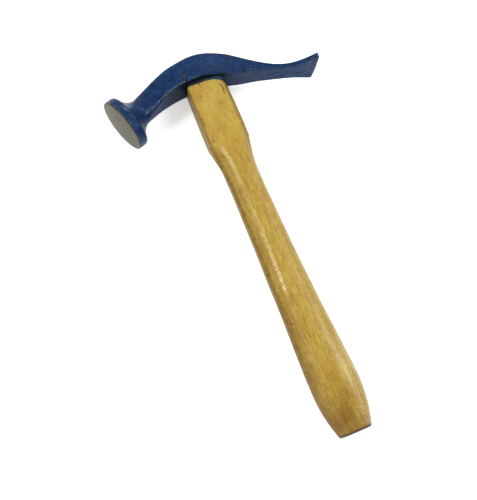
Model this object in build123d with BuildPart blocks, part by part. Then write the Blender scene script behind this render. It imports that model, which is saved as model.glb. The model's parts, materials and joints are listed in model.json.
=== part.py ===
from build123d import *
import math
import os

# A cobbler's hammer of the French pattern: a forged steel head with a broad round striking
# face and a thin flared pein, on a wooden handle held in the eye by one wooden wedge and two
# steel ones. All sizes are in millimetres.
#
# The hammer is modelled in a working frame: X along the head towards the pein, Y up the
# handle's axis through the eye, Z out of the upper cheek. At the end every piece is laid on
# the bench, where the face's rim, one corner of the pein and the handle's swell touch it.
# The origin is then on the bench, under the middle of the hammer's box.

# Striking face: a round plate that leans towards the handle, with a turned neck behind it
face_radius = 19.0
face_x = -65.0
face_y = -20.0
face_lean = 21.4
face_crown = 1.0
rim_radius = 19.5
rim_bevel = 1.2
rim_length = 5.4
plate_back = 7.4
plate_back_radius = 17.6
neck_radius = 9.0
neck_length = 19.0

# Forging from the neck to the pein, one row for each section: X, height of its middle,
# slope of its middle line in degrees, depth, breadth, corner radius
forging_sections = (
    (-47.2, -13.0, 23.0, 17.6, 17.6, 7.4),
    (-38.0, -8.4, 23.0, 15.7, 17.4, 2.8),
    (-26.0, -3.2, 16.0, 15.9, 21.6, 1.8),
    (-13.0, 0.2, 8.0, 16.8, 23.7, 1.5),
    (0.0, 1.4, -2.0, 17.9, 23.5, 1.4),
    (11.0, -0.2, -11.0, 17.4, 21.3, 1.4),
    (20.0, -3.2, -19.0, 15.6, 19.5, 1.3),
    (31.0, -7.8, -22.0, 11.2, 18.1, 1.2),
    (43.0, -12.5, -21.0, 6.5, 16.4, 1.1),
    (54.0, -16.2, -16.0, 4.3, 15.5, 1.0),
    (64.0, -18.5, -10.0, 3.8, 16.5, 1.0),
    (73.5, -19.9, -6.0, 3.5, 22.4, 0.9),
    (84.4, -20.8, -5.0, 3.2, 32.4, 0.9),
)

# Pein: its edge is dressed a little askew and slightly bowed, and its two corners are rounded
pein_upper_reach = 83.0
pein_lower_reach = 81.2
pein_bow = 0.8
pein_half_breadth = 15.5
pein_corner_radius = 3.0
pein_underside_y = -22.2

# Eye: an oval hole that widens upwards, filled by the handle's tenon
eye_length = 24.0
eye_width = 12.4
eye_taper = 0.06
eye_bottom = -14.0
eye_top = 14.0

# Handle: a flat-sided paddle under the head, then one row for each section of the shaft:
# Y, middle along X, breadth, thickness along Z, corner radius
paddle_top = (-3.0, 0.7, 27.5, 17.0, 2.6)
shaft_sections = (
    (-57.0, 0.2, 29.9, 17.0, 2.8),
    (-66.0, -0.1, 26.9, 16.9, 4.2),
    (-78.0, -0.2, 23.7, 16.8, 5.0),
    (-92.0, -0.1, 23.0, 16.8, 5.6),
    (-108.0, -0.1, 23.3, 17.0, 6.0),
    (-128.0, -0.1, 24.0, 17.5, 6.5),
    (-150.0, -0.1, 25.0, 18.2, 7.0),
    (-192.0, 0.1, 28.1, 20.6, 8.4),
    (-222.0, 0.2, 31.4, 22.6, 9.6),
    (-238.0, 0.3, 32.0, 23.4, 10.0),
    (-254.0, 0.2, 29.2, 21.6, 9.2),
    (-268.6, 0.1, 21.9, 16.8, 7.0),
)
butt_rounding = 0.9
swell_y = -240.0
swell_half_thickness = 11.75

# Wedges: the wooden one lies along the eye, the steel ones cross it
wooden_wedge_point = -5.5
wooden_wedge_length = 20.0
wooden_wedge_thickness = 3.2
wooden_wedge_edge = 0.8
steel_wedge_point = -2.5
steel_wedge_breadth = 9.6
steel_wedge_thickness = 2.0
steel_wedge_edge = 0.5
steel_wedge_spacing = 10.0


def across_forging(x, y, slope):
    """Plane across the forging, with local X up its depth and local Y across its breadth."""
    turn = math.radians(slope)
    along = (math.cos(turn), math.sin(turn), 0)
    upwards = (-math.sin(turn), math.cos(turn), 0)
    return Plane(origin=(x, y, 0), x_dir=upwards, z_dir=along)


def across_handle(y):
    """Plane across the handle at height y, facing up the handle."""
    return Plane(origin=(0, y, 0), x_dir=(1, 0, 0), z_dir=(0, 1, 0))


# Forging: lofted through its sections, then trimmed to the pein's outline in plan
with BuildPart() as forging:
    for x, y, slope, depth, breadth, corner in forging_sections:
        with BuildSketch(across_forging(x, y, slope)):
            RectangleRounded(depth, breadth, corner)
    loft()
    with BuildSketch(across_handle(0)) as plan:
        with BuildLine():
            ThreePointArc(
                (pein_upper_reach, -pein_half_breadth),
                ((pein_upper_reach + pein_lower_reach) / 2 + pein_bow, 0),
                (pein_lower_reach, pein_half_breadth),
            )
            Polyline(
                (pein_lower_reach, pein_half_breadth),
                (face_x, pein_half_breadth),
                (face_x, -pein_half_breadth),
                (pein_upper_reach, -pein_half_breadth),
            )
        make_face()
        pein_corners = plan.vertices().sort_by(Axis.X)[-2:]
        fillet(pein_corners, radius=pein_corner_radius)
    extrude(amount=-2 * face_x, both=True, mode=Mode.INTERSECT)

# Head before its eye is punched: the forging, and the face and neck turned on a leaning axis
face_turn = math.radians(face_lean)
face_direction = (math.cos(face_turn), math.sin(face_turn), 0)
face_center = (face_x, face_y, 0)

with BuildPart() as head_blank:
    add(forging.part)
    with BuildSketch(Plane(origin=face_center, x_dir=face_direction, z_dir=(0, 0, 1))):
        with BuildLine():
            ThreePointArc(
                (-face_crown, 0),
                (-0.75 * face_crown, face_radius / 2),
                (0, face_radius),
            )
            Line((0, face_radius), (rim_bevel, rim_radius))
            Line((rim_bevel, rim_radius), (rim_length, rim_radius))
            TangentArc(
                (rim_length, rim_radius),
                (plate_back, plate_back_radius),
                tangent=(1, 0),
            )
            Spline(
                (plate_back, plate_back_radius),
                (10.1, 13.7),
                (13.8, 10.5),
                (neck_length, neck_radius),
                tangents=((0.3, -1), (1, 0)),
            )
            Line((neck_length, neck_radius), (neck_length, 0))
            Line((neck_length, 0), (-face_crown, 0))
        make_face()
    revolve(axis=Axis(face_center, face_direction))

# Space inside the eye, shared by the head's hole and the handle's tenon
with BuildPart() as eye_space:
    for y in (eye_bottom, eye_top):
        spread = (y - eye_bottom) * eye_taper
        with BuildSketch(across_handle(y)):
            SlotOverall(eye_length + spread, eye_width + spread)
    loft()

with BuildPart() as head:
    add(head_blank.part)
    add(eye_space.part, mode=Mode.SUBTRACT)

# Spaces of the wedges, each a point-down taper that is taller than the eye
with BuildPart() as wooden_wedge_space:
    with BuildSketch(across_handle(wooden_wedge_point)):
        Rectangle(wooden_wedge_length, wooden_wedge_edge)
    with BuildSketch(across_handle(eye_top)):
        Rectangle(wooden_wedge_length, wooden_wedge_thickness)
    loft()


def steel_wedge_space(x):
    """Taper of a steel wedge that crosses the eye at x."""
    with BuildPart() as space:
        with BuildSketch(across_handle(steel_wedge_point)):
            with Locations((x, 0)):
                Rectangle(steel_wedge_edge, steel_wedge_breadth)
        with BuildSketch(across_handle(eye_top)):
            with Locations((x, 0)):
                Rectangle(steel_wedge_thickness, steel_wedge_breadth)
        loft()
    return space.part


front_space = steel_wedge_space(-steel_wedge_spacing / 2)
rear_space = steel_wedge_space(steel_wedge_spacing / 2)

# Wedges: their tops are dressed flush with the top of the head
with BuildPart() as wooden_wedge:
    add(wooden_wedge_space.part)
    add(front_space, mode=Mode.SUBTRACT)
    add(rear_space, mode=Mode.SUBTRACT)
    add(head_blank.part, mode=Mode.INTERSECT)

with BuildPart() as steel_wedge_front:
    add(front_space)
    add(head_blank.part, mode=Mode.INTERSECT)

with BuildPart() as steel_wedge_rear:
    add(rear_space)
    add(head_blank.part, mode=Mode.INTERSECT)

# Tenon: fills the eye, slotted for the wedges and dressed flush with the top of the head
with BuildPart() as tenon:
    add(eye_space.part)
    add(head_blank.part, mode=Mode.INTERSECT)
    add(wooden_wedge_space.part, mode=Mode.SUBTRACT)
    add(front_space, mode=Mode.SUBTRACT)
    add(rear_space, mode=Mode.SUBTRACT)

# Handle: shaft and paddle, whose shoulders butt against the underside of the head
with BuildPart() as handle:
    for y, middle, breadth, thickness, corner in shaft_sections:
        with BuildSketch(across_handle(y)):
            with Locations((middle, 0)):
                RectangleRounded(breadth, thickness, corner)
    loft()
    butt = handle.faces().sort_by(Axis.Y)[0]
    fillet(butt.edges(), radius=butt_rounding)
    for y, middle, breadth, thickness, corner in (shaft_sections[0], paddle_top):
        with BuildSketch(across_handle(y)):
            with Locations((middle, 0)):
                RectangleRounded(breadth, thickness, corner)
    loft()
    add(head_blank.part, mode=Mode.SUBTRACT)
    add(tenon.part)

# Bench: the plane through the hammer's three points of rest, seen from the working frame
rest_on_rim = Vector(face_x, face_y, -rim_radius)
rest_on_pein = Vector(pein_lower_reach, pein_underside_y, -pein_half_breadth)
rest_on_swell = Vector(0, swell_y, -swell_half_thickness)
towards_pein = rest_on_pein - rest_on_rim
towards_swell = rest_on_swell - rest_on_rim
bench_up = towards_swell.cross(towards_pein).normalized()
bench = Plane(
    origin=rest_on_rim,
    x_dir=Vector(0, 1, 0).cross(bench_up),
    z_dir=bench_up,
)

# Lay the pieces down and move the origin under the middle of their common box
pieces = (head, handle, wooden_wedge, steel_wedge_front, steel_wedge_rear)
laid = bench.location.inverse()
boxes = [piece.part.moved(laid).bounding_box() for piece in pieces]
low_x = min(box.min.X for box in boxes)
high_x = max(box.max.X for box in boxes)
low_y = min(box.min.Y for box in boxes)
high_y = max(box.max.Y for box in boxes)
low_z = min(box.min.Z for box in boxes)
centring = Location((-(low_x + high_x) / 2, -(low_y + high_y) / 2, -low_z))
for piece in pieces:
    piece.part.location = centring * laid

os.makedirs("parts", exist_ok=True)

head.part.label = "head"
export_step(head.part, "parts/head.step")

handle.part.label = "handle"
export_step(handle.part, "parts/handle.step")

wooden_wedge.part.label = "wooden_wedge"
export_step(wooden_wedge.part, "parts/wooden_wedge.step")

steel_wedge_front.part.label = "steel_wedge_front"
export_step(steel_wedge_front.part, "parts/steel_wedge_front.step")

steel_wedge_rear.part.label = "steel_wedge_rear"
export_step(steel_wedge_rear.part, "parts/steel_wedge_rear.step")
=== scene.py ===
import json
import math

import bmesh
import bpy
import numpy as np
from mathutils import Euler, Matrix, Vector, noise


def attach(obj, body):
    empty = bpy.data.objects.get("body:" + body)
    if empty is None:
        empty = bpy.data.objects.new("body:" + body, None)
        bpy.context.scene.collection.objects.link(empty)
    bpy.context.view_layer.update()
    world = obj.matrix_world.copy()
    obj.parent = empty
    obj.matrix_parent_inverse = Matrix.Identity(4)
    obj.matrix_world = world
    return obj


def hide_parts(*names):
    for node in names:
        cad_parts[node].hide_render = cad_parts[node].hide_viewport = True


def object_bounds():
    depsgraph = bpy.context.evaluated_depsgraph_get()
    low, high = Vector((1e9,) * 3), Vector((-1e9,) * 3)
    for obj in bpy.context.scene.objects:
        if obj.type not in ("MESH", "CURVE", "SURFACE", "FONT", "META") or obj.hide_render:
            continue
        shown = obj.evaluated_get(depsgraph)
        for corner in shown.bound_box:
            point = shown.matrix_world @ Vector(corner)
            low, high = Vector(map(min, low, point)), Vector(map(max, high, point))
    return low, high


# Looks of a cobbler's hammer of the French pattern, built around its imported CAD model: a forged
# head in worn blue enamel with a bare ground face, on a carved and varnished wooden handle that
# is held in the eye by one wooden wedge and two steel ones.
#
# Shapes are worked out in millimetres in the hammer's own frame: X along the head towards the
# pein, Y up the handle's axis, Z out of the upper cheek. They are then moved to the row frame.

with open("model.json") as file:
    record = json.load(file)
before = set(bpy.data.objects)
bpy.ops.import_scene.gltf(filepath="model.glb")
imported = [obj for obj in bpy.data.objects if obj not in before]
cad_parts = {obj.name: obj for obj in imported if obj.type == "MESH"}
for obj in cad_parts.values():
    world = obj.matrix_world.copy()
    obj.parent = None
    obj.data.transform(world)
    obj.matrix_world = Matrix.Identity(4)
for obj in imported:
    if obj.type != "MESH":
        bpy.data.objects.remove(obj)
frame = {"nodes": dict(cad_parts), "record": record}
cad_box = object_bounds()

MM = 0.001
SEED = 7
TINY = 1e-9

# ---------------------------------------------------------------------------------------------
# The hammer's own frame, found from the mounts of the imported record
# ---------------------------------------------------------------------------------------------

# Height in the hammer's frame of the mount under the head
UNDER_HEAD_Y = -7.55

mounts = {mount["name"]: mount for mount in frame["record"]["mounts"]}
AXIS_Y = -Vector(mounts["under_head"]["axis"])
AXIS_Z = AXIS_Y.cross(Vector(mounts["striking_face"]["axis"])).normalized()
AXIS_X = AXIS_Y.cross(AXIS_Z)
ORIGIN = Vector(mounts["under_head"]["pos_m"]) - AXIS_Y * UNDER_HEAD_Y * MM
AXES = np.array([AXIS_X, AXIS_Y, AXIS_Z])


def to_row(points):
    """Points in the hammer's frame, in millimetres, as points in the row frame, in metres."""
    return points @ AXES * MM + np.array(ORIGIN)


def to_hammer(points):
    """Points in the row frame, in metres, as points in the hammer's frame, in millimetres."""
    return (points - np.array(ORIGIN)) @ AXES.T / MM


# ---------------------------------------------------------------------------------------------
# Curves and noise
# ---------------------------------------------------------------------------------------------


def smooth_through(knots, values, at):
    """Natural cubic spline through the values at the knots, read at the given places."""
    knots = np.array(knots, float)
    values = np.array(values, float)
    gaps = np.diff(knots)
    count = len(knots)
    system = np.eye(count)
    right = np.zeros(count)
    for i in range(1, count - 1):
        system[i, i - 1] = gaps[i - 1]
        system[i, i] = 2 * (gaps[i - 1] + gaps[i])
        system[i, i + 1] = gaps[i]
        rise = (values[i + 1] - values[i]) / gaps[i] - (values[i] - values[i - 1]) / gaps[i - 1]
        right[i] = 6 * rise
    bend = np.linalg.solve(system, right)
    at = np.clip(at, knots[0], knots[-1])
    left = np.clip(np.searchsorted(knots, at, side="right") - 1, 0, count - 2)
    gap = gaps[left]
    before = at - knots[left]
    after = knots[left + 1] - at
    cubic = (bend[left] * after**3 + bend[left + 1] * before**3) / (6 * gap)
    line_left = (values[left] / gap - bend[left] * gap / 6) * after
    line_right = (values[left + 1] / gap - bend[left + 1] * gap / 6) * before
    return cubic + line_left + line_right


def ease(low, high, at):
    """0 below low, 1 above high and a smooth step between."""
    share = np.clip((np.asarray(at, float) - low) / (high - low), 0, 1)
    return share * share * (3 - 2 * share)


def eased_through(knots, values, at):
    """Smooth steps from each value to the next, so that nothing overshoots."""
    at = np.asarray(at, float)
    result = np.full(at.shape, float(values[0]))
    for low, high, start, end in zip(knots, knots[1:], values, values[1:]):
        result += (end - start) * ease(low, high, at)
    return result


def noise_field(points, size, seed):
    """Smooth noise from -1 to 1 at points in millimetres, with features of about that size."""
    shift = Vector((17.3, 5.1, 29.7)) * seed
    found = [noise.noise(Vector(point) / size + shift) for point in points.reshape(-1, 3)]
    return np.array(found).reshape(points.shape[:-1])


def ring_normals(rings, middles):
    """Outward normals of a tube of rings, from its neighbouring points."""
    around = np.roll(rings, -1, axis=1) - np.roll(rings, 1, axis=1)
    along = np.gradient(rings, axis=0)
    normals = np.cross(around, along)
    lengths = np.linalg.norm(normals, axis=2, keepdims=True)
    normals = normals / np.maximum(lengths, TINY)
    outward = np.einsum("ijk,ijk->ij", normals, rings - middles)
    return normals * np.where(outward < 0, -1, 1)[..., None]


# ---------------------------------------------------------------------------------------------
# Meshes
# ---------------------------------------------------------------------------------------------


def tube_mesh(name, rings, start_pole=None, end_pole=None, fold_end=False):
    """Closed mesh over rings of equal count. Each end closes on a pole, or folds flat
    where opposite points of the last ring are joined across it."""
    ring_count, point_count = rings.shape[:2]
    points = [rings.reshape(-1, 3)]
    faces = []
    for ring in range(ring_count - 1):
        base = ring * point_count
        for i in range(point_count):
            j = (i + 1) % point_count
            faces.append((base + i, base + j, base + point_count + j, base + point_count + i))
    total = ring_count * point_count
    last = total - point_count
    if start_pole is not None:
        points.append(np.array([start_pole], float))
        faces += [((i + 1) % point_count, i, total) for i in range(point_count)]
        total += 1
    if end_pole is not None:
        points.append(np.array([end_pole], float))
        faces += [(last + i, last + (i + 1) % point_count, total) for i in range(point_count)]
    if fold_end:
        half = point_count // 2
        quarter = half // 2
        for i in range(-quarter, quarter):
            corners = (i, i + 1, half - i - 1, half - i)
            kept = list(dict.fromkeys(last + corner % point_count for corner in corners))
            faces.append(tuple(kept))
    mesh = bpy.data.meshes.new(name)
    mesh.from_pydata(to_row(np.concatenate(points)).tolist(), [], faces)
    mesh.validate()
    mesh.update()
    return mesh


def add_object(name, mesh):
    """Puts a mesh in the scene under that name."""
    made = bpy.data.objects.new(name, mesh)
    bpy.context.scene.collection.objects.link(made)
    return made


def face_outward(mesh):
    """Turns the mesh's faces so that they all face outward."""
    work = bmesh.new()
    work.from_mesh(mesh)
    bmesh.ops.recalc_face_normals(work, faces=work.faces)
    work.to_mesh(mesh)
    work.free()


def weld(mesh, distance):
    """Joins vertices that lie within that distance of one another."""
    work = bmesh.new()
    work.from_mesh(mesh)
    bmesh.ops.remove_doubles(work, verts=work.verts, dist=distance)
    work.to_mesh(mesh)
    work.free()


def cut_away(target, cutter):
    """Subtracts the cutter from the target's mesh and removes the cutter."""
    modifier = target.modifiers.new("cut", "BOOLEAN")
    modifier.operation = "DIFFERENCE"
    modifier.solver = "EXACT"
    modifier.object = cutter
    depsgraph = bpy.context.evaluated_depsgraph_get()
    result = bpy.data.meshes.new_from_object(target.evaluated_get(depsgraph))
    target.modifiers.clear()
    target.data = result
    bpy.data.objects.remove(cutter)


def shade(mesh, sharp_angle):
    """Smooth shading, with edges over the angle left sharp."""
    mesh.shade_smooth()
    mesh.set_sharp_from_angle(angle=math.radians(sharp_angle))


def hammer_points(mesh):
    """The mesh's vertices in the hammer's frame, in millimetres."""
    flat = np.zeros(len(mesh.vertices) * 3)
    mesh.vertices.foreach_get("co", flat)
    return to_hammer(flat.reshape(-1, 3))


def set_mask(mesh, name, values):
    """Stores one number from 0 to 1 for each vertex, which the materials read by name."""
    attribute = mesh.attributes.new(name, "FLOAT", "POINT")
    attribute.data.foreach_set("value", np.clip(values, 0, 1).astype(np.float32))


# ---------------------------------------------------------------------------------------------
# Head: face, rim and neck turned on a leaning axis, then the forging down to the pein
# ---------------------------------------------------------------------------------------------

HEAD_POINTS = 160
HEAD_SHARP_ANGLE = 38
FACE_PLACE = np.array((-65.0, -20.0, 0.0))
FACE_LEAN = math.radians(21.4)
FACE_RADIUS = 19.0
FACE_CROWN = 1.0

# Directions along the face's leaning axis, towards the pein, and up across it
FACE_ALONG = np.array((math.cos(FACE_LEAN), math.sin(FACE_LEAN), 0))
FACE_UPWARD = np.array((-math.sin(FACE_LEAN), math.cos(FACE_LEAN), 0))

# Profile of the turned end: distances behind the face's edge, and radii
FACE_EDGE_CENTRE = (0.75, 18.65)
FACE_EDGE_RADIUS = 0.8
RIM_RADIUS = 19.5
RIM_START = 1.3
RIM_END = 5.0
BACK_CENTRE = (5.2, 17.4)
BACK_HALF_LENGTH = 2.2
BACK_HALF_HEIGHT = 2.1
NECK_RADIUS = 9.1
NECK_END = 17.5
FLARE_CORNERS = ((7.4, 17.4), (9.3, 14.3), (12.2, 9.9), (NECK_END, NECK_RADIUS))

# Forging from the neck to the pein, one row for each section: X, height of its middle, slope
# of its middle line in degrees, depth, breadth, corner radius
FORGING = (
    (-48.7, -13.6, 21.4, 18.2, 18.2, 9.0),
    (-38.0, -8.4, 23.0, 15.7, 17.2, 2.8),
    (-26.0, -3.2, 16.0, 15.9, 21.6, 1.7),
    (-13.0, 0.2, 8.0, 16.8, 23.7, 1.4),
    (0.0, 1.4, -2.0, 17.9, 23.5, 1.4),
    (11.0, -0.2, -11.0, 17.4, 21.3, 1.4),
    (20.0, -3.2, -19.0, 15.6, 19.5, 1.3),
    (31.0, -7.8, -22.0, 11.2, 18.1, 1.2),
    (43.0, -12.5, -21.0, 6.5, 16.4, 1.1),
    (54.0, -16.2, -16.0, 4.3, 15.5, 1.0),
    (64.0, -18.5, -10.0, 3.8, 16.5, 1.0),
    (73.5, -19.9, -6.0, 3.5, 22.4, 0.9),
    (84.4, -20.8, -5.0, 3.2, 32.4, 0.9),
)
FORGING_STEP = 0.62

# Pein: how far its two corners reach, the bow of its edge, and the rounding of its corners and
# of the edge itself. Its rings are flat up to PEIN_SPREAD_X, and past it they spread towards
# the shape of the edge.
PEIN_REACH = (83.0, 81.2)
PEIN_BOW = 0.8
PEIN_HALF_BREADTH = 15.5
PEIN_CORNER = 3.0
PEIN_ARC_BREADTH = 14.8
PEIN_SPREAD_X = 70.0
PEIN_EDGE = 0.5

# Eye: an oval hole that widens upwards, a little clear of the wood, with a chamfered top
EYE_HALF_LENGTH = 12.0
EYE_HALF_WIDTH = 6.2
EYE_SPREAD = 0.03
EYE_BOTTOM = -14.0
EYE_CHAMFER = 0.5
EYE_CLEARANCE = 0.08
EYE_CUT_PAST = 4.0


def forging_column(index, x):
    """One column of the forging's table, read smoothly at x."""
    table = np.array(FORGING)
    return smooth_through(table[:, 0], table[:, index], x)


def quarter_outline(share, half_depth, half_breadth, corner):
    """Point at a share of the way round a quarter of a rectangle with rounded corners, from
    the middle of its top to the middle of its side, as (up, across)."""
    corner = np.minimum(corner, np.minimum(half_depth, half_breadth) - 0.02)
    top = half_breadth - corner
    bend = corner * math.pi / 2
    side = half_depth - corner
    way = share * (top + bend + side)
    turn = np.clip((way - top) / corner, 0, math.pi / 2)
    up = side + corner * np.cos(turn) - np.maximum(way - top - bend, 0)
    across = np.minimum(way, top) + corner * np.sin(turn)
    return up, across


def around_section(half_depth, half_breadth, corner):
    """Whole outline of a section: (up, across) for each of the ring's points."""
    index = np.arange(HEAD_POINTS)
    quarter = HEAD_POINTS // 4
    step = index % (2 * quarter)
    share = np.where(step <= quarter, step, 2 * quarter - step) / quarter
    up, across = quarter_outline(share, half_depth, half_breadth, corner)
    lower = (index > quarter) & (index < 3 * quarter)
    return up * np.where(lower, -1, 1), across * np.where(index <= 2 * quarter, 1, -1)


def face_and_neck_profile():
    """(distance behind the face's edge, radius) from the crown's middle to the neck."""
    radii = np.linspace(0.8, FACE_RADIUS - 0.5, 24)
    crown = np.stack([FACE_CROWN * ((radii / FACE_RADIUS) ** 2 - 1), radii], axis=1)
    turns = np.radians(np.linspace(8, 82, 7))
    edge_behind = FACE_EDGE_CENTRE[0] - FACE_EDGE_RADIUS * np.cos(turns)
    edge_radii = FACE_EDGE_CENTRE[1] + FACE_EDGE_RADIUS * np.sin(turns)
    rim_behind = np.linspace(RIM_START, RIM_END, 7)
    turns = np.radians(np.linspace(10, 90, 8))
    back_behind = BACK_CENTRE[0] + BACK_HALF_LENGTH * np.sin(turns)
    back_radii = BACK_CENTRE[1] + BACK_HALF_HEIGHT * np.cos(turns)
    t = np.linspace(0, 1, 20)[1:, None]
    weights = ((1 - t) ** 3, 3 * t * (1 - t) ** 2, 3 * t * t * (1 - t), t**3)
    flare = sum(weight * np.array(corner) for weight, corner in zip(weights, FLARE_CORNERS))
    return np.concatenate([
        crown,
        np.stack([edge_behind, edge_radii], axis=1),
        np.stack([rim_behind, np.full_like(rim_behind, RIM_RADIUS)], axis=1),
        np.stack([back_behind, back_radii], axis=1),
        flare,
    ])


def face_and_neck_rings():
    """Rings of the turned end of the head, with their middles."""
    rings, middles = [], []
    for behind, radius in face_and_neck_profile():
        up, across = around_section(radius, radius, radius)
        middle = FACE_PLACE + FACE_ALONG * behind
        ring = middle + up[:, None] * FACE_UPWARD
        ring[:, 2] += across
        rings.append(ring)
        middles.append(np.tile(middle, (HEAD_POINTS, 1)))
    return np.array(rings), np.array(middles)


def pein_tip_x(across_share):
    """X of the pein's edge, a little askew and rounded at its two corners."""
    z = across_share * PEIN_ARC_BREADTH
    skew = (1 - z / PEIN_HALF_BREADTH) / 2
    reach = PEIN_REACH[0] + (PEIN_REACH[1] - PEIN_REACH[0]) * skew
    reach += PEIN_BOW * (1 - (z / PEIN_HALF_BREADTH) ** 2)
    past = np.maximum(np.abs(z) - (PEIN_HALF_BREADTH - PEIN_CORNER), 0)
    return reach - PEIN_CORNER + np.sqrt(PEIN_CORNER**2 - past**2)


def forging_ring(x, spread, inset):
    """One ring of the forging and its middles. spread carries the ring from a flat section at
    PEIN_SPREAD_X towards the shape of the pein's edge, and inset draws it in."""
    half_depth = forging_column(3, x) / 2
    half_breadth = forging_column(4, x) / 2
    corner = forging_column(5, x)
    _, across = around_section(half_depth, half_breadth, corner)
    stations = np.full(HEAD_POINTS, float(x))
    if spread > 0:
        tip = pein_tip_x(across / half_breadth)
        stations = PEIN_SPREAD_X + spread * (tip - PEIN_SPREAD_X)
    half_depth = forging_column(3, stations) / 2 - inset
    half_breadth = np.minimum(forging_column(4, stations) / 2, PEIN_HALF_BREADTH) - inset
    up, across = around_section(half_depth, half_breadth, forging_column(5, stations))
    slope = np.radians(forging_column(2, stations))
    middle = np.stack([stations, forging_column(1, stations), np.zeros(HEAD_POINTS)], axis=1)
    upward = np.stack([-np.sin(slope), np.cos(slope), np.zeros(HEAD_POINTS)], axis=1)
    ring = middle + up[:, None] * upward
    ring[:, 2] += across
    return ring, middle


def forging_rings():
    """Rings from the neck to the pein's edge, with their middles."""
    first = FORGING[0][0]
    plain = [(x, 0, 0) for x in np.arange(first, PEIN_SPREAD_X, FORGING_STEP)]
    tip_length = pein_tip_x(0.0) - PEIN_SPREAD_X
    shares = np.linspace(0, 1 - PEIN_EDGE / tip_length, 22)
    spreading = [(PEIN_SPREAD_X + share * tip_length, share, 0) for share in shares]
    rounding = []
    for turn in np.radians(np.linspace(15, 90, 6)):
        share = 1 - PEIN_EDGE * (1 - math.sin(turn)) / tip_length
        x = PEIN_SPREAD_X + share * tip_length
        rounding.append((x, share, PEIN_EDGE * (1 - math.cos(turn))))
    made = [forging_ring(x, share, inset) for x, share, inset in plain + spreading + rounding]
    return np.array([ring for ring, _ in made]), np.array([middle for _, middle in made])


def head_relief(points):
    """How far the head's surface stands out: broad and fine marks of the forging on the body,
    and lengthwise ones where the pein was drawn thin."""
    x = points[..., 0]
    forged = ease(-58, -46, x)
    thin = ease(38, 52, x)
    swell = noise_field(points, 13, SEED) * 0.16
    hammered = noise_field(points, 4.5, SEED + 1) * 0.05
    stretched = points * np.array((0.12, 1, 1))
    drawn = noise_field(stretched, 2.2, SEED + 2) * 0.05
    return forged * (swell * (1 - 0.7 * thin) + hammered) + drawn * thin


def eye_outline(angles, grow):
    """Radius of the eye's oval at each angle round its middle, grown by a little."""
    radius = EYE_HALF_WIDTH + grow
    straight = EYE_HALF_LENGTH - EYE_HALF_WIDTH
    sine = np.maximum(np.abs(np.sin(angles)), TINY)
    cosine = np.abs(np.cos(angles))
    flat = radius / sine
    under_root = np.maximum(radius**2 - (straight * sine) ** 2, 0)
    arc = straight * cosine + np.sqrt(under_root)
    return np.where(flat * cosine <= straight, flat, arc)


turned, turned_middles = face_and_neck_rings()
forged, forged_middles = forging_rings()
head_rings = np.concatenate([turned, forged])
head_middles = np.concatenate([turned_middles, forged_middles])
head_rings += head_relief(head_rings)[..., None] * ring_normals(head_rings, head_middles)

eye_region = (forged[:, 0, 0] > -20) & (forged[:, 0, 0] < 20)
upper_line = forged[eye_region][:, 0, :2]
lower_line = forged[eye_region][:, HEAD_POINTS // 2, :2]


def top_of_head(x):
    """Height of the head's top over the eye."""
    return np.interp(x, upper_line[:, 0], upper_line[:, 1])


def under_head(x):
    """Height of the head's underside below the eye."""
    return np.interp(x, lower_line[:, 0], lower_line[:, 1])


def eye_ring(angles, y_of_x, rise, grow):
    """Ring round the eye at a height that follows the head's top or underside."""
    rough_y = y_of_x(np.zeros(1))[0] + rise
    radius = eye_outline(angles, grow + (rough_y - EYE_BOTTOM) * EYE_SPREAD)
    x = radius * np.cos(angles)
    z = radius * np.sin(angles)
    return np.stack([x, y_of_x(x) + rise, z], axis=1)


def make_head():
    """Head with its eye cut through it."""
    crown_top = FACE_PLACE - FACE_CROWN * FACE_ALONG
    mesh = tube_mesh("head_skin", head_rings, start_pole=crown_top, fold_end=True)
    face_outward(mesh)
    head = add_object("hammer_head", mesh)
    angles = np.radians(np.arange(0, 360, 3))
    chamfered = EYE_CLEARANCE + 1.6 * EYE_CHAMFER
    levels = [
        eye_ring(angles, under_head, -EYE_CUT_PAST, EYE_CLEARANCE),
        eye_ring(angles, under_head, 1, EYE_CLEARANCE),
        eye_ring(angles, top_of_head, -EYE_CHAMFER, EYE_CLEARANCE),
        eye_ring(angles, top_of_head, EYE_CHAMFER, chamfered),
        eye_ring(angles, top_of_head, EYE_CUT_PAST, chamfered),
    ]
    bottom = (0, levels[0][:, 1].mean(), 0)
    top = (0, levels[-1][:, 1].mean(), 0)
    cutter_mesh = tube_mesh("eye_cutter", np.array(levels), bottom, top)
    face_outward(cutter_mesh)
    cut_away(head, add_object("eye_cutter", cutter_mesh))
    shade(head.data, HEAD_SHARP_ANGLE)
    return head


# ---------------------------------------------------------------------------------------------
# Handle: a flat paddle, a shaft with chamfered sides, a rounded swell and a flat butt
# ---------------------------------------------------------------------------------------------

HANDLE_POINTS = 200
HANDLE_STEP = 0.85
HANDLE_SHARP_ANGLE = 42
BUTT_Y = -268.6
BUTT_EDGE = 1.2
SHOULDER_START = -12.0
SHOULDER_GAP = 0.05
TENON_GAP = 0.06
TENON_DROP = 0.15

# Paddle's top, then one row for each section of the shaft: Y, middle along X, breadth,
# thickness along Z
PADDLE_TOP = (-3.0, 0.7, 27.5, 17.0)
SHAFT = (
    (-57.0, 0.2, 29.9, 17.0),
    (-66.0, -0.1, 26.9, 16.9),
    (-78.0, -0.2, 23.7, 16.8),
    (-92.0, -0.1, 23.0, 16.8),
    (-108.0, -0.1, 23.3, 17.0),
    (-128.0, -0.1, 24.0, 17.5),
    (-150.0, -0.1, 25.0, 18.2),
    (-192.0, 0.1, 28.1, 20.6),
    (-222.0, 0.2, 31.4, 22.6),
    (-238.0, 0.3, 32.0, 23.4),
    (-254.0, 0.2, 29.2, 21.6),
    (-268.6, 0.1, 21.9, 16.8),
)

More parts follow.
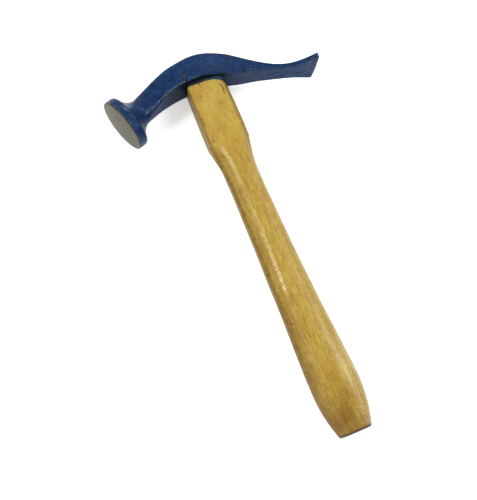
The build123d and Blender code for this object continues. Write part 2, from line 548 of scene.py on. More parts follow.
# Y, width of the chamfers on the left and on the right, how crisp the arrises are on the left
# and on the right
CARVING = (
    (0.0, 0.8, 2.4, 60.0, 50.0),
    (-48.0, 0.9, 3.4, 60.0, 40.0),
    (-55.0, 2.4, 4.4, 60.0, 26.0),
    (-64.0, 4.9, 4.8, 60.0, 18.0),
    (-73.0, 6.2, 4.9, 60.0, 12.0),
    (-86.0, 5.2, 4.8, 55.0, 7.0),
    (-128.0, 5.2, 5.2, 46.0, 6.5),
    (-160.0, 5.6, 5.8, 34.0, 6.5),
    (-184.0, 6.1, 6.1, 15.0, 6.5),
    (-225.0, 6.4, 6.2, 8.0, 7.0),
    (-268.6, 5.6, 4.8, 8.0, 8.0),
)


def shaft_size(index, y):
    """One column of the shaft's table at y, straight along the paddle above it."""
    table = np.array(SHAFT)[::-1]
    below = smooth_through(table[:, 0], table[:, index], np.minimum(y, table[-1, 0]))
    span = PADDLE_TOP[0] - table[-1, 0]
    share = np.clip((y - table[-1, 0]) / span, 0, 1.2)
    return below + share * (PADDLE_TOP[index] - table[-1, index])


def carving(index, y):
    """One column of the carving's table at y."""
    table = np.array(CARVING)[::-1]
    return eased_through(table[:, 0], table[:, index], y)


def handle_section(y):
    """Outline across the handle as (x, z): eight flats that meet in more or less crisp
    arrises, from the sum of each flat's pull raised to a power."""
    angles = np.arange(HANDLE_POINTS) / HANDLE_POINTS * 2 * math.pi
    half_breadth = shaft_size(2, y) / 2
    half_thickness = shaft_size(3, y) / 2
    left, right, left_crispness, right_crispness = (float(carving(i, y)) for i in (1, 2, 3, 4))
    leftward = ease(-0.3, 0.3, -np.cos(angles))
    crispness = right_crispness + (left_crispness - right_crispness) * leftward
    flats = [(0, half_breadth), (90, half_thickness), (180, half_breadth), (270, half_thickness)]
    for turn, chamfer in ((45, right), (135, left), (225, left), (315, right)):
        flats.append((turn, (half_breadth + half_thickness - chamfer) / math.sqrt(2)))
    pull = np.zeros(HANDLE_POINTS)
    for turn, distance in flats:
        facing = np.maximum(np.cos(angles - math.radians(turn)), 0)
        pull += (facing / distance) ** crispness
    radius = pull ** (-1 / crispness)
    x = radius * np.cos(angles)
    z = radius * np.sin(angles)
    x *= half_breadth / x.max()
    z *= half_thickness / z.max()
    return x + shaft_size(1, y), z


def handle_ring(y, inset=0.0):
    """Flat ring across the handle, drawn in by inset."""
    x, z = handle_section(y)
    middle = float(shaft_size(1, y))
    length = np.hypot(x - middle, z)
    share = (length - inset) / length
    return np.stack([middle + (x - middle) * share, np.full_like(x, y), z * share], axis=1)


def shoulder_ring(share, inset=0.0):
    """Ring near the paddle's top. It follows the head's underside at share 1."""
    ring = handle_ring(SHOULDER_START + share * (PADDLE_TOP[0] - SHOULDER_START), inset)
    rise = under_head(ring[:, 0]) - SHOULDER_GAP - SHOULDER_START
    ring[:, 1] = SHOULDER_START + share * rise
    return ring


def between(first, last, shares):
    """Rings at the given shares of the way from one ring to another."""
    return [first + (last - first) * share for share in shares]


def handle_relief(points):
    """How far the wood stands out: slight waves from the carving and dents from use."""
    x, y, z = points[..., 0], points[..., 1], points[..., 2]
    long_waves = noise_field(points * np.array((1, 0.4, 1)), 9, SEED + 4) * 0.14
    facets = noise_field(points * np.array((1, 0.25, 1)), 3.2, SEED + 5) * 0.05
    dents = np.minimum(noise_field(points, 4.0, SEED + 6) + 0.42, 0) * 0.35
    body = ease(-267, -262, y) * (1 - ease(-16, -10, y))
    return (long_waves + facets + dents) * body


def handle_rings():
    """Rings from the butt to the top of the tenon."""
    butt = handle_ring(BUTT_Y)
    centre = butt.mean(axis=0)
    inner = centre + (butt - centre) * 0.04
    outer = centre + (butt - centre) * 0.94
    rings = between(inner, outer, np.linspace(0, 1, 12))
    for turn in np.radians(np.linspace(0, 80, 5)):
        rise = BUTT_EDGE * (1 - math.cos(turn))
        inset = BUTT_EDGE * (1 - math.sin(turn))
        rings.append(handle_ring(BUTT_Y + rise, inset))
    shaft_levels = np.arange(BUTT_Y + 2 * BUTT_EDGE, SHOULDER_START - 0.4, HANDLE_STEP)
    rings += [handle_ring(y) for y in shaft_levels]
    rings += [shoulder_ring(share) for share in np.linspace(0, 0.94, 8)]
    rings.append(shoulder_ring(0.985, 0.06))
    rings.append(shoulder_ring(1.0, 0.35))
    angles = np.arange(HANDLE_POINTS) / HANDLE_POINTS * 2 * math.pi
    root = eye_ring(angles, under_head, -SHOULDER_GAP, -TENON_GAP)
    top = eye_ring(angles, top_of_head, -TENON_DROP, -TENON_GAP)
    rings += between(rings[-1], root, (0.3, 0.6, 0.9, 1.0))
    rings += between(root, top, np.linspace(0, 1, 16)[1:])
    top_middle = np.array((0, top_of_head(0.0) - TENON_DROP, 0))
    for share in np.linspace(1, 0.05, 9)[1:]:
        ring = top_middle + (top - top_middle) * share
        ring[:, 1] = top_of_head(ring[:, 0]) - TENON_DROP
        rings.append(ring)
    return np.array(rings)


def make_handle(wedges):
    """Handle with slots for the wedges."""
    rings = handle_rings()
    middles = np.broadcast_to(rings.mean(axis=1, keepdims=True), rings.shape)
    rings += handle_relief(rings)[..., None] * ring_normals(rings, middles)
    mesh = tube_mesh("handle_wood", rings, rings[0].mean(axis=0), rings[-1].mean(axis=0))
    face_outward(mesh)
    handle = add_object("hammer_handle", mesh)
    for wedge in wedges:
        cutter = add_object("wedge_cutter", wedge.data.copy())
        weld(cutter.data, 0.002 * MM)
        face_outward(cutter.data)
        cut_away(handle, cutter)
    shade(handle.data, HANDLE_SHARP_ANGLE)
    return handle


# ---------------------------------------------------------------------------------------------
# Materials
# ---------------------------------------------------------------------------------------------


class Finish:
    """Node tree of one material, with short calls for the nodes that the finishes share."""

    def __init__(self, name, **constants):
        self.material = bpy.data.materials.new(name)
        self.material.use_nodes = True
        self.tree = self.material.node_tree
        self.shader = self.tree.nodes["Principled BSDF"]
        for socket, value in constants.items():
            self.shader.inputs[socket.replace("_", " ")].default_value = value
        self.place = self.tree.nodes.new("ShaderNodeTexCoord").outputs["Object"]

    def join(self, value, socket):
        """Gives a socket a number, a colour or another node's output."""
        if isinstance(value, bpy.types.NodeSocket):
            self.tree.links.new(value, socket)
        elif isinstance(value, tuple) and len(value) == 3 and socket.type == "RGBA":
            socket.default_value = (*value, 1)
        else:
            socket.default_value = value

    def mask(self, name):
        """A mask that the mesh holds for each vertex."""
        node = self.tree.nodes.new("ShaderNodeAttribute")
        node.attribute_name = name
        return node.outputs["Fac"]

    def stretched(self, stretch, shift=(0, 0, 0)):
        """Object coordinates scaled along each axis."""
        node = self.tree.nodes.new("ShaderNodeMapping")
        self.join(self.place, node.inputs["Vector"])
        node.inputs["Scale"].default_value = stretch
        node.inputs["Location"].default_value = shift
        return node.outputs["Vector"]

    def noise(self, size_mm, detail=3.0, roughness=0.55, stretch=(1, 1, 1), shift=(0, 0, 0)):
        """Noise with features of about that size."""
        node = self.tree.nodes.new("ShaderNodeTexNoise")
        self.join(self.stretched(stretch, shift), node.inputs["Vector"])
        node.inputs["Scale"].default_value = 1 / (size_mm * MM)
        node.inputs["Detail"].default_value = detail
        node.inputs["Roughness"].default_value = roughness
        return node.outputs["Fac"]

    def ramp(self, fac, low, high, start=0.0, end=1.0):
        """Number that goes from start to end as fac goes from low to high, held outside."""
        node = self.tree.nodes.new("ShaderNodeMapRange")
        self.join(fac, node.inputs["Value"])
        node.inputs["From Min"].default_value = low
        node.inputs["From Max"].default_value = high
        node.inputs["To Min"].default_value = start
        node.inputs["To Max"].default_value = end
        return node.outputs["Result"]

    def math(self, operation, first, second):
        """One arithmetic step."""
        node = self.tree.nodes.new("ShaderNodeMath")
        node.operation = operation
        self.join(first, node.inputs[0])
        self.join(second, node.inputs[1])
        return node.outputs["Value"]

    def mix(self, fac, first, second):
        """Mix of two colours."""
        node = self.tree.nodes.new("ShaderNodeMix")
        node.data_type = "RGBA"
        sockets = [socket for socket in node.inputs if socket.enabled]
        self.join(fac, sockets[0])
        self.join(first, sockets[1])
        self.join(second, sockets[2])
        return next(socket for socket in node.outputs if socket.enabled)

    def bump(self, height, distance_mm, under=None):
        """Bump from a height that spans distance_mm, over another bump where one is given."""
        node = self.tree.nodes.new("ShaderNodeBump")
        node.inputs["Distance"].default_value = distance_mm * MM
        self.join(height, node.inputs["Height"])
        if under is not None:
            self.join(under, node.inputs["Normal"])
        return node.outputs["Normal"]

    def finish(self, **inputs):
        """Joins the results to the shader."""
        for socket, value in inputs.items():
            self.join(value, self.shader.inputs[socket.replace("_", " ")])
        return self.material


# Colours are linear red, green and blue. Enamel, which also gives painted shade under the head
# and a partly painted reflection on the pein, undercoat, which also gives painted glints and a
# painted edge highlight, rust and bare steel of the head:
ENAMEL_DEEP = (0.0030, 0.0135, 0.050)
ENAMEL_CLEAR = (0.0072, 0.0270, 0.088)
ENAMEL_CLOUD = (0.0045, 0.0165, 0.046)
ENAMEL_BRIGHT_FLOW = (0.0120, 0.050, 0.140)
ENAMEL_DARK_FLOW = (0.0045, 0.012, 0.028)
ENAMEL_FLECK = (0.0025, 0.0070, 0.0180)
ENAMEL_SHADE_AND_SCARS = (0.0030, 0.0065, 0.0080)
PEIN_DEEP = (0.0020, 0.0110, 0.040)
PEIN_CLEAR = (0.0110, 0.0370, 0.096)
UNDERCOAT_AND_GLINT_DEEP = (0.020, 0.060, 0.070)
UNDERCOAT_AND_GLINT_PALE = (0.13, 0.17, 0.15)
HEAD_RUST = (0.040, 0.018, 0.008)
FACE_OUTLINE = (0.006, 0.008, 0.010)
FACE_DARK = (0.058, 0.054, 0.038)
FACE_PALE = (0.092, 0.086, 0.062)
FACE_STAIN = (0.050, 0.044, 0.029)

# Varnished wood of the handle, from its clear grain to its marks, painted shade, painted shadow
# and painted highlight
WOOD_GOLD = (0.285, 0.186, 0.021)
WOOD_LIGHT_GOLD = (0.312, 0.215, 0.034)
WOOD_DARK_PATCH = (0.235, 0.124, 0.014)
WOOD_PALE_PATCH = (0.360, 0.262, 0.058)
WOOD_DARK_FIBRE = (0.165, 0.080, 0.013)
WOOD_PALE_FIBRE = (0.400, 0.310, 0.095)
WOOD_DARK_SPECKLE = (0.170, 0.100, 0.010)
WOOD_PALE_SPECKLE = (0.420, 0.320, 0.090)
WOOD_MOTTLE = (0.195, 0.112, 0.008)
WOOD_PORE = (0.075, 0.036, 0.006)
WOOD_SIDE_SHADE = (0.095, 0.050, 0.006)
WOOD_BROWN = (0.120, 0.052, 0.003)
WOOD_HIGHLIGHT = (0.780, 0.690, 0.430)
WOOD_END_DARK = (0.040, 0.022, 0.009)
WOOD_END_PALE = (0.120, 0.075, 0.034)
WOOD_CRACK = (0.012, 0.009, 0.007)
WOOD_PAINT = (0.004, 0.022, 0.034)
WOOD_SEAM_SHADOW = (0.002, 0.003, 0.004)

# Wedges and floor
WEDGE_WOOD_DARK = (0.16, 0.085, 0.035)
WEDGE_WOOD_PALE = (0.34, 0.205, 0.095)
WEDGE_STEEL_DARK = (0.20, 0.19, 0.18)
WEDGE_STEEL_PALE = (0.42, 0.41, 0.39)
WEDGE_RUST = (0.16, 0.075, 0.035)
FLOOR_DARK = (0.925, 0.925, 0.925)
FLOOR_PALE = (0.945, 0.945, 0.945)
FLOOR_GLOW = 0.28


def enamel_paint(f, mottle, streak):
    """Mottled blue, streaked and slaty towards the pein, with painted shade under the head beside
    the wood and dark scars, in flecks.
    """
    cloud = f.noise(16, detail=2)
    flow = f.noise(2.2, detail=5, roughness=0.7, stretch=(0.45, 1, 1), shift=(0.2, 0.4, 0.1))
    fleck = f.noise(0.9, detail=4, roughness=0.7)
    # Painted shade under the head beside the wood, together with the dark scars.
    shade_and_scars = f.math("MULTIPLY", f.mask("shade_and_scars"), f.ramp(mottle, 0.25, 0.55, 0.5, 1))
    paint = f.mix(f.ramp(mottle, 0.34, 0.68), ENAMEL_DEEP, ENAMEL_CLEAR)
    paint = f.mix(f.ramp(cloud, 0.35, 0.7, 0, 0.4), paint, ENAMEL_CLOUD)
    # Slaty pein, lighter towards its tip: partly the paint's own tone, partly a painted
    # reflection of the floor.
    pein = f.mix(f.ramp(streak, 0.36, 0.64), PEIN_DEEP, PEIN_CLEAR)
    paint = f.mix(f.mask("pale"), paint, pein)
    paint = f.mix(shade_and_scars, paint, ENAMEL_SHADE_AND_SCARS)
    paint = f.mix(f.ramp(flow, 0.54, 0.66, 0, 0.70), paint, ENAMEL_BRIGHT_FLOW)
    paint = f.mix(f.ramp(flow, 0.46, 0.32, 0, 0.60), paint, ENAMEL_DARK_FLOW)
    return f.mix(f.ramp(fleck, 0.53, 0.62, 0, 0.75), paint, ENAMEL_FLECK)


def blue_enamel():
    """Worn blue enamel on forged steel, worn through at its edges to a paler coat, which also
    paints glints and a highlight along the lower edge, with the face ground bare.
    """
    f = Finish("blue_enamel", IOR=1.13, Coat_Roughness=0.16)
    mottle = f.noise(5, detail=5, roughness=0.65)
    streak = f.noise(1.6, detail=4, stretch=(0.1, 1, 1))
    fine = f.noise(0.45, detail=3)
    ground = f.noise(0.5, detail=3, roughness=0.6)
    stain = f.ramp(f.noise(6, detail=4), 0.52, 0.72, 0, 0.4)
    ragged = f.ramp(f.noise(1.3, detail=3), 0.3, 0.7, -0.12, 0.12)
    # Where the undercoat shows: worn edges and chips, with painted glints and a painted highlight
    # along the lower edge among them.
    chipped_and_glinting = f.math("MULTIPLY", f.mask("wear_and_glints"), f.ramp(f.noise(1.5, detail=4), 0.42, 0.56))
    rust = f.math("MULTIPLY", f.mask("rust"), f.ramp(f.noise(1.2, detail=4), 0.35, 0.6))
    bare = f.ramp(f.math("ADD", f.mask("bare"), ragged), 0.45, 0.55)

    undercoat_and_glint = f.mix(f.ramp(fine, 0.4, 0.6), UNDERCOAT_AND_GLINT_DEEP, UNDERCOAT_AND_GLINT_PALE)
    colour = f.mix(chipped_and_glinting, enamel_paint(f, mottle, streak), undercoat_and_glint)
    colour = f.mix(rust, colour, HEAD_RUST)
    colour = f.mix(f.mask("outline"), colour, FACE_OUTLINE)
    steel = f.mix(f.ramp(ground, 0.3, 0.7), FACE_DARK, FACE_PALE)
    steel = f.mix(stain, steel, FACE_STAIN)
    colour = f.mix(bare, colour, steel)

    paint_roughness = f.ramp(mottle, 0.3, 0.7, 0.26, 0.42)
    steel_roughness = f.ramp(ground, 0.3, 0.7, 0.52, 0.66)
    roughness = f.mix(bare, paint_roughness, steel_roughness)
    height = f.math("ADD", f.math("MULTIPLY", streak, 0.5), f.math("MULTIPLY", fine, 0.35))
    height = f.math("SUBTRACT", height, f.math("MULTIPLY", chipped_and_glinting, 0.35))
    normal = f.bump(f.noise(2.4, detail=3), 0.09)
    normal = f.bump(height, 0.05, under=normal)
    metal = f.math("MULTIPLY", bare, 0.15)
    matt = f.math("MAXIMUM", f.mask("pale"), f.mask("shade_and_scars"))
    coat = f.ramp(matt, 0, 0.75, 0.12, 0.02)
    return f.finish(
        Base_Color=colour,
        Metallic=metal,
        Roughness=roughness,
        Normal=normal,
        Coat_Weight=coat,
    )


def clear_grain(f, patch, fibre, speckle, mottle):
    """Golden wood with patches, fibres, which are stronger on the shaft, and speckles."""
    band = f.noise(5.5, detail=2, stretch=(1, 0.08, 1))
    coarse = f.ramp(f.mask("shaft"), 0, 1, 0.35, 1)
    dark_fibre = f.math("MULTIPLY", f.ramp(fibre, 0.48, 0.62, 0, 0.62), coarse)
    wood = f.mix(f.ramp(band, 0.34, 0.66), WOOD_GOLD, WOOD_LIGHT_GOLD)
    wood = f.mix(f.ramp(patch, 0.48, 0.70, 0, 0.50), wood, WOOD_DARK_PATCH)
    wood = f.mix(f.ramp(patch, 0.46, 0.30, 0, 0.45), wood, WOOD_PALE_PATCH)
    wood = f.mix(dark_fibre, wood, WOOD_DARK_FIBRE)
    wood = f.mix(f.ramp(fibre, 0.42, 0.28, 0, 0.45), wood, WOOD_PALE_FIBRE)
    wood = f.mix(f.ramp(speckle, 0.54, 0.68, 0, 0.45), wood, WOOD_DARK_SPECKLE)
    wood = f.mix(f.ramp(speckle, 0.44, 0.32, 0, 0.40), wood, WOOD_PALE_SPECKLE)
    return f.mix(f.ramp(mottle, 0.54, 0.66, 0, 0.40), wood, WOOD_MOTTLE)


def marked_wood(f, wood, patch, mottle):
    """The wood with painted shade on its sides, brown marks that also hold painted shade, a
    painted highlight, end grain, cracks, stray paint and a painted shadow below the head.
    """
    # Painted shade on the side facets, mostly on the left.
    side_shade = f.math("MULTIPLY", f.mask("side"), f.ramp(mottle, 0.35, 0.65, 0.55, 1))
    # The brown mask holds brown marks and also painted shade left of the arris.
    brown = f.math("MULTIPLY", f.mask("brown"), f.ramp(patch, 0.35, 0.6, 0.45, 1))
    # Painted highlight along the left arris and on the swell, broken into speckles.
    highlight_speckle = f.noise(0.5, detail=3, stretch=(1, 0.4, 1), shift=(0.1, 0.5, 0.2))
    highlighted = f.math("MULTIPLY", f.mask("painted_highlight"), f.ramp(highlight_speckle, 0.48, 0.58, 0.05, 0.9))
    end_grain = f.ramp(f.noise(0.5, detail=3), 0.3, 0.7)
    splash = f.ramp(f.noise(1.6, detail=3), 0.3, 0.7, -0.2, 0.2)
    painted = f.ramp(f.math("ADD", f.mask("paint"), splash), 0.42, 0.58)
    wood = f.mix(side_shade, wood, WOOD_SIDE_SHADE)
    wood = f.mix(brown, wood, WOOD_BROWN)
    wood = f.mix(highlighted, wood, WOOD_HIGHLIGHT)
    wood = f.mix(f.mask("end"), wood, f.mix(end_grain, WOOD_END_DARK, WOOD_END_PALE))
    wood = f.mix(f.mask("dark"), wood, WOOD_CRACK)
    wood = f.mix(painted, wood, WOOD_PAINT)
    # Painted shadow in the seam below the head.
    return f.mix(f.mask("shade_and_scars"), wood, WOOD_SEAM_SHADOW)


def varnished_wood():
    """Golden varnished wood with short flecked grain, marks, painted shade, a painted shadow and
    a painted highlight, and stray paint.
    """
    f = Finish("varnished_wood", IOR=1.2, Coat_Roughness=0.22)
    fibre = f.noise(0.7, detail=4, roughness=0.65, stretch=(1, 0.10, 1))
    pores = f.noise(0.5, detail=2, stretch=(1, 0.13, 1), shift=(0.3, 0.1, 0.2))
    patch = f.noise(9, detail=4, roughness=0.6, stretch=(1, 0.6, 1))
    speckle = f.noise(0.55, detail=4, roughness=0.7)
    mottle = f.noise(2.6, detail=4, roughness=0.6, shift=(0.5, 0.2, 0.3))
    pore_share = f.ramp(patch, 0.35, 0.6, 0.15, 0.7)
    pore = f.math("MULTIPLY", f.ramp(pores, 0.63, 0.70), pore_share)
    wood = clear_grain(f, patch, fibre, speckle, mottle)
    wood = f.mix(pore, wood, WOOD_PORE)
    wood = marked_wood(f, wood, patch, mottle)

    gloss = f.noise(3, detail=4, stretch=(1, 0.3, 1))
    roughness = f.ramp(gloss, 0.3, 0.7, 0.30, 0.50)
    height = f.math("ADD", f.math("MULTIPLY", fibre, 0.6), f.math("MULTIPLY", speckle, 0.6))
    height = f.math("SUBTRACT", height, f.math("ADD", f.mask("dark"), pore))
    normal = f.bump(height, 0.10)
    normal = f.bump(mottle, 0.14, under=normal)
    # Less coat on the shaded sides and on the end grain.
    sides_and_ends = f.math("MAXIMUM", f.mask("side"), f.mask("end"))
    coat = f.ramp(sides_and_ends, 0, 0.5, 0.34, 0.03)
    return f.finish(Base_Color=wood, Roughness=roughness, Normal=normal, Coat_Weight=coat)


def wedge_wood():
    """Raw hardwood of the wooden wedge, seen on its end grain."""
    f = Finish("wedge_wood", Roughness=0.75)
    grain = f.noise(0.6, detail=4, stretch=(1, 1, 0.35))
    wood = f.mix(f.ramp(grain, 0.3, 0.7), WEDGE_WOOD_DARK, WEDGE_WOOD_PALE)
    return f.finish(Base_Color=wood, Normal=f.bump(grain, 0.08))


def wedge_steel():
    """Rolled steel of the two cross wedges, filed on top."""
    f = Finish("wedge_steel", Metallic=1.0)
    filed = f.noise(0.5, detail=3, stretch=(0.15, 1, 1))
    steel = f.mix(f.ramp(filed, 0.3, 0.7), WEDGE_STEEL_DARK, WEDGE_STEEL_PALE)
    rust = f.ramp(f.noise(2.2, detail=4), 0.52, 0.66, 0, 0.8)
    colour = f.mix(rust, steel, WEDGE_RUST)
    roughness = f.ramp(filed, 0.3, 0.7, 0.32, 0.55)
    return f.finish(Base_Color=colour, Roughness=roughness, Normal=f.bump(filed, 0.04))


def pale_floor():
    """Plain pale studio floor."""
    f = Finish("pale_floor", Roughness=0.9, Emission_Strength=FLOOR_GLOW)
    f.shader.inputs["Emission Color"].default_value = (1, 1, 1, 1)
    paper = f.noise(1.5, detail=3)
    colour = f.mix(f.ramp(paper, 0.3, 0.7), FLOOR_DARK, FLOOR_PALE)
    return f.finish(Base_Color=colour, Normal=f.bump(paper, 0.05))


# ---------------------------------------------------------------------------------------------
# Wear and marks, painted shade, painted shadow and painted highlights, as masks on the meshes
# ---------------------------------------------------------------------------------------------


# Marks on the head, in the hammer's frame: rows of place and radius, or a path. The pale marks on
# the rim and on the upper cheek are painted glints.
RIM_GLINT = ((-61.5, -15.4, 19.3), (-59.7, -20.1, 19.3))
RIM_GLINT_RADIUS = 0.9
PALE_GLINTS = (
    ((7.6, -1.5, 11.8), 0.9),
    ((34.5, -12.9, 9.0), 0.8),
    ((37.2, -13.7, 9.0), 0.9),
)
DARK_SCARS = (
    ((30.0, -11.7, 9.1), 1.6),
    ((63.0, -18.6, 8.6), 2.2),
)
RUST_SPOTS = (((-13.2, -3.8, 11.8), 2.4),)
TURNED_END_X = -50

# Lines on the handle: X and Y of the stray paint's edge, Y and X of the shaft's left arris,
# and Y and strength of the painted highlight along that arris
PAINT_EDGE = (
    (-14.0, -11.0),
    (-4.0, -10.7),
    (3.0, -10.8),
    (6.0, -11.2),
    (10.0, -13.0),
    (13.0, -15.4),
    (14.5, -18.5),
)
LEFT_ARRIS = (
    (-170.0, -7.1),
    (-155.0, -6.3),
    (-140.0, -5.8),
    (-118.0, -5.2),
    (-82.0, -5.3),
    (-72.0, -6.0),
    (-62.0, -7.6),
)
ARRIS_HIGHLIGHTS = (
    (-175.0, 0.0),
    (-169.0, 0.75),
    (-152.0, 0.65),
    (-125.0, 0.30),
    (-100.0, 0.20),
    (-80.0, 0.40),
    (-70.0, 0.55),
    (-63.0, 0.45),
    (-60.0, 0.0),
)

# Marks on the handle: rows of place and radius, and rows of path, radius and strength
CRACK = ((9.2, -16.2, 8.5), (9.9, -19.5, 8.5), (9.4, -24.4, 8.5))
CRACK_RADIUS = 0.55
DARK_SPECKS = (
    ((-4.6, -11.8, 8.5), 0.8),
    ((13.2, -18.6, 7.4), 1.0),
    ((12.9, -24.6, 7.2), 0.8),
    ((-11.4, -56.0, 8.3), 0.9),
    ((-9.0, -96.3, 7.0), 1.1),
    ((-11.7, -192.1, 7.0), 1.0),
)
BROWN_SPOTS = (((-6.7, -20.9, 8.5), 1.4),)
BROWN_SPOT_STRENGTH = 0.7
BROWN_STREAKS = (
    (((-12.8, -37.6, 8.5), (-12.9, -43.3, 8.5)), 1.3, 0.8),
    (((6.1, -75.0, 8.0), (5.9, -79.0, 8.0)), 0.9, 0.7),
    (((-5.2, -243.0, 10.0), (-5.3, -266.0, 9.0)), 2.2, 0.9),
    (((3.4, -250.0, 10.0), (5.8, -264.0, 9.0)), 2.0, 0.9),
)


def spots(points, marks):
    """1 at the place of each mark, fading to 0 at its radius."""
    result = np.zeros(len(points))
    for place, radius in marks:
        away = np.linalg.norm(points - np.array(place), axis=1)
        result = np.maximum(result, 1 - ease(0.35 * radius, radius, away))
    return result


def stroke(points, path, radius):
    """1 along a broken line through the path's places, fading to 0 at radius."""
    result = np.zeros(len(points))
    for start, end in zip(path, path[1:]):
        start = np.array(start, float)
        run = np.array(end, float) - start
        share = np.clip((points - start) @ run / (run @ run), 0, 1)
        away = np.linalg.norm(points - start - share[:, None] * run, axis=1)
        result = np.maximum(result, 1 - ease(0.3 * radius, radius, away))
    return result


def near(distance, width):
    """1 where the distance is 0, fading in a bell curve of that width."""
    return np.exp(-((distance / width) ** 2))


def along_line(corners, at):
    """Broken line through corners of (place, value), read at the given places."""
    places, values = np.transpose(corners)
    return np.interp(at, places, values)


def face_distances(points):
    """How far each point lies behind the face's edge, and from the face's axis."""
    from_face = points - FACE_PLACE
    behind = from_face @ FACE_ALONG
    return behind, np.linalg.norm(from_face - behind[:, None] * FACE_ALONG, axis=1)


def wear_face(mesh):
    """Masks of the face: bare ground steel, and the dark line round it."""
    points = hammer_points(mesh)
    behind, radius = face_distances(points)
    on_face = (behind < 1.5) & (points[:, 0] < TURNED_END_X)
    line = ease(18.6, 18.9, radius) * ease(19.5, 19.25, radius)
    set_mask(mesh, "bare", on_face * ease(18.95, 18.7, radius))
    set_mask(mesh, "outline", on_face * line)


def wear_forging(mesh):
    """Masks of the painted steel: worn edges with painted glints and a partly painted highlight
    along the lower edge, a streaky, slaty pein that is partly painted reflection, painted shade
    under the head by the wood with dark scars, rust.
    """
    points = hammer_points(mesh)
    x, y, z = points.T
    half_depth = forging_column(3, x) / 2
    half_breadth = np.minimum(forging_column(4, x) / 2, PEIN_HALF_BREADTH)
    up = (y - forging_column(1, x)) * np.cos(np.radians(forging_column(2, x)))
    tuck = 0.29 * forging_column(5, x)
    off_side = half_breadth - tuck - np.abs(z)
    off_under = half_depth - tuck + up
    off_top = half_depth - tuck - up

    # Partly painted highlight along the near lower edge, kept as pale worn paint; the upper edge
    # gets a weaker line.
    lower_edge = 1.1 * near(np.hypot(off_side, off_under), 0.75)
    lower_edge *= (1 - 0.85 * ease(-12, 0, x)) * (1 - 0.45 * ease(-27, -18, x))
    upper_edge = 0.3 * near(np.hypot(off_side, off_top), 0.6)
    edge_wear_and_highlight = (lower_edge + upper_edge) * ease(-48.5, -45.5, x)
    # Painted glints on the rim and on the upper cheek, as pale chips.
    glints = np.maximum(spots(points, PALE_GLINTS), stroke(points, RIM_GLINT, RIM_GLINT_RADIUS))
    behind, radius = face_distances(points)
    on_rim = near(radius - RIM_RADIUS, 0.5) * near(behind - 0.6, 0.7)
    rim_edge = 0.5 * on_rim * (x < TURNED_END_X)
    off_tip = np.abs(pein_tip_x(np.clip(z / half_breadth, -1, 1)) - x)
    pein_edge = 0.35 * ease(1.6, 0.3, off_tip) * (x > PEIN_SPREAD_X)
    set_mask(mesh, "wear_and_glints", np.maximum(edge_wear_and_highlight, glints) + rim_edge + pein_edge)
    # Slaty pein, lighter towards its tip: partly the paint's own tone, partly a painted
    # reflection of the floor.
    set_mask(mesh, "pale", 0.75 * ease(24, 60, x) + 0.25 * ease(60, 82, x))

    # Painted shade: the underside darkened near the handle, and a painted shadow along the line
    # where the wood meets the head. The scars are real dark marks.
    underside = ease(0.6, 1.8, half_breadth - np.abs(z)) * ease(0, -2, up)
    shade_and_scars = underside * ease(-38, -17, x) * (1 - ease(14, 22, x))
    contact_shadow = 0.8 * near(half_depth + up, 1.2) * ease(-16, -13, x) * ease(18, 15, x)
    scars = 0.7 * spots(points, DARK_SCARS)
    set_mask(mesh, "shade_and_scars", np.maximum.reduce([shade_and_scars, contact_shadow, scars]))
    set_mask(mesh, "rust", spots(points, RUST_SPOTS))


def paint_handle(mesh):
    """Masks of the paint that strayed onto the wood, and of a painted shadow in the seam below
    the head and over the left of the stray paint.
    """
    points = hammer_points(mesh)
    x, y = points[:, 0], points[:, 1]
    painted = ease(-0.8, 0.8, y - along_line(PAINT_EDGE, x))
    below_head = under_head(x) - y
    # Painted shadow in the seam below the head, and over the left part of the stray paint.
    seam_shadow = np.where(below_head > 0, ease(1.9, 0.9, below_head), 0)
    set_mask(mesh, "paint", painted)
    set_mask(mesh, "shade_and_scars", np.maximum(seam_shadow, painted * ease(1, -5, x)))


def shade_and_highlight_handle(mesh):
    """Masks of painted shade on the sides, of the shaft, and of a painted highlight along the
    left arris and on the swell.
    """
    points = hammer_points(mesh)
    x, y, z = points.T
    across = x / (shaft_size(2, y) / 2)
    reach = np.abs(across)
    arris = along_line(LEFT_ARRIS, y)
    # Painted shade: the side facets darker, more on the left, and also the paddle's side bevels
    # and the left chamfer beside the arris.
    side = ease(0.80, 1.0, reach) * np.where(x < 0, 0.75, 0.30)
    side += ease(0.66, 0.90, reach) * ease(-74, -56, y) * np.where(x < 0, 0.10, 0.55)
    side += 0.22 * ease(0, 1.5, arris - x) * ease(-60, -66, y)
    # Painted highlight along the left arris, and on the right of the swell.
    painted_highlight = along_line(ARRIS_HIGHLIGHTS, y) * ease(1.8, 0.2, np.abs(x - arris))
    painted_highlight += 0.22 * ease(0.35, 0.6, across) * ease(-205, -222, y)
    set_mask(mesh, "side", side)
    set_mask(mesh, "shaft", ease(-55, -75, y))
    set_mask(mesh, "painted_highlight", painted_highlight * (z > 0))


